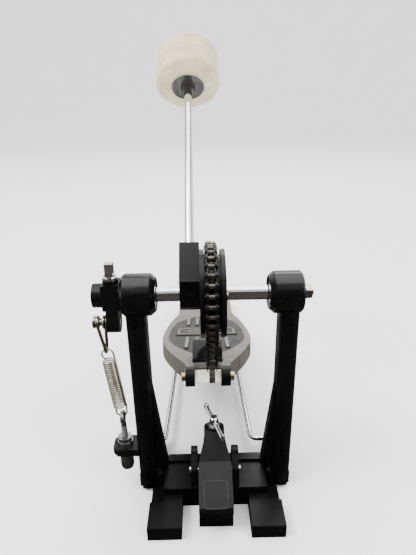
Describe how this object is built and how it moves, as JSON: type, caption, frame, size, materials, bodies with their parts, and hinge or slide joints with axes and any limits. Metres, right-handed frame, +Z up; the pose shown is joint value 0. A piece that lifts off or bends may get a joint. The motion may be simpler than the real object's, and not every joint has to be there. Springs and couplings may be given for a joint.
{
  "type": "bass drum pedal",
  "caption": "Bass drum pedal with a chain drive wheel, felt beater on a leaning shaft, side return spring, ribbed footboard, hoop clamp and two radius rods back to the heel plate.",
  "frame": {"origin": "on the floor under the middle of the axle, midway between the two posts", "axes": "+Y from the drum hoop to the heel, +Z up, +X to the side away from the return spring"},
  "size_m": [0.1454, 0.3595, 0.3249],
  "materials": {
    "satin_black": "satin black coating",
    "polished_steel": "polished",
    "nickel_steel": "nickel plated",
    "zinc_steel": "dull zinc",
    "cast_aluminium": "warm satin casting",
    "rubber_grip": "matt",
    "rubber_pad": "matt",
    "felt": "pressed wool felt",
    "nylon": "natural nylon",
    "brass": "dull brass",
    "chain_steel": "dark oiled steel",
    "roller_steel": "bronze brown",
    "bearing_steel": "ground",
    "black_plastic": "matt"
  },
  "bodies": {
    "frame": {"base_frame": "satin_black", "left_post": "satin_black", "right_post": "satin_black", "post_bolts": "nickel_steel", "post_set_screws": "satin_black", "left_bearing_housing": "satin_black", "right_bearing_housing": "satin_black", "bearing_outer_races": "bearing_steel", "bearing_balls": "bearing_steel", "left_radius_rod": "polished_steel", "right_radius_rod": "polished_steel", "heel_plate": "cast_aluminium", "heel_plate_pad": "rubber_pad", "heel_hinge_pin": "polished_steel", "spring_eye_bolt": "zinc_steel", "spring_collar_nut": "zinc_steel", "spring_tension_nut": "zinc_steel", "clamp_pivot_pin": "polished_steel"},
    "axle_assembly": {"axle": "polished_steel", "bearing_inner_races": "bearing_steel", "axle_end_nut": "nickel_steel", "beater_hub": "satin_black", "hub_set_screws": "nickel_steel", "drive_wheel": "satin_black", "wheel_screws": "nickel_steel", "wheel_chain_inner_links": "roller_steel", "wheel_chain_outer_links": "chain_steel", "chain_anchor_screw": "nickel_steel", "rocker": "satin_black", "rocker_bolt": "polished_steel", "rocker_bolt_washer": "polished_steel", "rocker_pin": "nickel_steel"},
    "beater": {"beater_shaft": "polished_steel", "beater_lower_washer": "polished_steel", "beater_lower_nut": "polished_steel", "beater_felt": "felt", "beater_upper_washer": "polished_steel", "beater_upper_nut": "polished_steel"},
    "chain_link_1": {"chain_link_1": "roller_steel"},
    "chain_link_2": {"chain_link_2": "chain_steel"},
    "chain_link_3": {"chain_link_3": "roller_steel"},
    "chain_link_4": {"chain_link_4": "chain_steel"},
    "chain_link_5": {"chain_link_5": "roller_steel"},
    "hanging_chain": {"hanging_chain_inner_links": "roller_steel", "hanging_chain_outer_links": "chain_steel"},
    "footboard_assembly": {"footboard": "cast_aluminium", "footboard_grip": "rubber_grip", "toe_stop": "black_plastic", "toe_clevis": "satin_black", "toe_screws": "nickel_steel", "toe_hinge_pin": "brass", "toe_spacers": "nylon"},
    "toe_link": {"toe_link": "zinc_steel"},
    "spring_link": {"spring_link": "nickel_steel"},
    "spring_lower_end": {"spring_lower_loop": "nickel_steel"},
    "spring": {"spring_coil": "nickel_steel"},
    "clamp_lever": {"clamp_lever": "satin_black"},
    "clamp_bolt": {"clamp_bolt": "polished_steel", "clamp_swivel_nut": "polished_steel"},
    "clamp_t_bar": {"clamp_t_bar": "polished_steel"}
  },
  "joints": [
    {"name": "axle_turn", "type": "hinge", "parent": "frame", "child": "axle_assembly", "pos_m": [0, 0, 0.162], "axis": [1, 0, 0], "range_deg": [0, 45], "stiffness_Nm_per_rad": 0.5, "springref_deg": -11.46},
    {"name": "beater_height", "type": "slide", "parent": "axle_assembly", "child": "beater", "axis": [0, 0.7022, 0.712], "range_m": [0, 0.012]},
    {"name": "footboard_tilt", "type": "hinge", "parent": "frame", "child": "footboard_assembly", "pos_m": [-0.0038, 0.246, 0.022], "axis": [1, 0, 0], "range_deg": [0, 6.5]},
    {"name": "chain_bend_1", "type": "hinge", "parent": "axle_assembly", "child": "chain_link_1", "pos_m": [-0.00085, -0.02576, 0.1781], "axis": [1, 0, 0], "range_deg": [-9.7, 0]},
    {"name": "chain_bend_2", "type": "hinge", "parent": "chain_link_1", "child": "chain_link_2", "pos_m": [-0.00085, -0.02854, 0.17239], "axis": [1, 0, 0], "range_deg": [-9.7, 0]},
    {"name": "chain_bend_3", "type": "hinge", "parent": "chain_link_2", "child": "chain_link_3", "pos_m": [-0.00085, -0.03008, 0.16623], "axis": [1, 0, 0], "range_deg": [-9.7, 0]},
    {"name": "chain_bend_4", "type": "hinge", "parent": "chain_link_3", "child": "chain_link_4", "pos_m": [-0.00085, -0.0303, 0.15989], "axis": [1, 0, 0], "range_deg": [-9.7, 0]},
    {"name": "chain_bend_5", "type": "hinge", "parent": "chain_link_4", "child": "chain_link_5", "pos_m": [-0.00085, -0.0292, 0.15363], "axis": [1, 0, 0], "range_deg": [-9.7, 0]},
    {"name": "hanging_chain_bend", "type": "hinge", "parent": "chain_link_5", "child": "hanging_chain", "pos_m": [-0.00085, -0.02682, 0.14774], "axis": [1, 0, 0], "range_deg": [-9.7, 0]},
    {"name": "toe_link_tilt", "type": "hinge", "parent": "footboard_assembly", "child": "toe_link", "pos_m": [-0.00085, 0, 0.09728], "axis": [1, 0, 0], "range_deg": [-19, 0]},
    {"name": "spring_link_swing", "type": "hinge", "parent": "axle_assembly", "child": "spring_link", "pos_m": [-0.0738, -0.003, 0.144], "axis": [1, 0, 0], "range_deg": [-55, 0]},
    {"name": "spring_tilt", "type": "hinge", "parent": "frame", "child": "spring_lower_end", "pos_m": [-0.0665, -0.002, 0.065], "axis": [1, 0, 0], "range_deg": [-9.7, 0]},
    {"name": "spring_stretch", "type": "slide", "parent": "spring_lower_end", "child": "spring", "axis": [0, 0, 1], "range_m": [0, 0.0034], "deforming": ["spring_coil"]},
    {"name": "clamp_lever_tilt", "type": "hinge", "parent": "frame", "child": "clamp_lever", "pos_m": [0, -0.014, 0.025], "axis": [1, 0, 0], "range_deg": [-3.1, 0]},
    {"name": "clamp_screw_turn", "type": "hinge", "parent": "clamp_lever", "child": "clamp_bolt", "pos_m": [0, 0.001, 0.054], "axis": [0, 0, 1], "range_deg": [0, 720]},
    {"name": "clamp_t_bar_slide", "type": "slide", "parent": "clamp_bolt", "child": "clamp_t_bar", "axis": [0.2924, -0.9563, 0], "range_m": [-0.012, 0.012]}
  ],
  "couplings": [
    {"joint": "footboard_tilt", "follows": "axle_turn", "ratio": 0.143},
    {"joint": "chain_bend_1", "follows": "axle_turn", "ratio": -0.2128},
    {"joint": "chain_bend_2", "follows": "axle_turn", "ratio": -0.2128},
    {"joint": "chain_bend_3", "follows": "axle_turn", "ratio": -0.2128},
    {"joint": "chain_bend_4", "follows": "axle_turn", "ratio": -0.2128},
    {"joint": "chain_bend_5", "follows": "axle_turn", "ratio": -0.2128},
    {"joint": "hanging_chain_bend", "follows": "axle_turn", "ratio": -0.2128},
    {"joint": "toe_link_tilt", "follows": "axle_turn", "ratio": -0.4194},
    {"joint": "spring_link_swing", "follows": "axle_turn", "ratio": -1.2},
    {"joint": "spring_tilt", "follows": "axle_turn", "ratio": -0.21},
    {"joint": "spring_stretch", "follows": "axle_turn", "m_per_rad": 0.0042},
    {"joint": "clamp_lever_tilt", "follows": "clamp_screw_turn", "ratio": -0.00417}
  ]
}
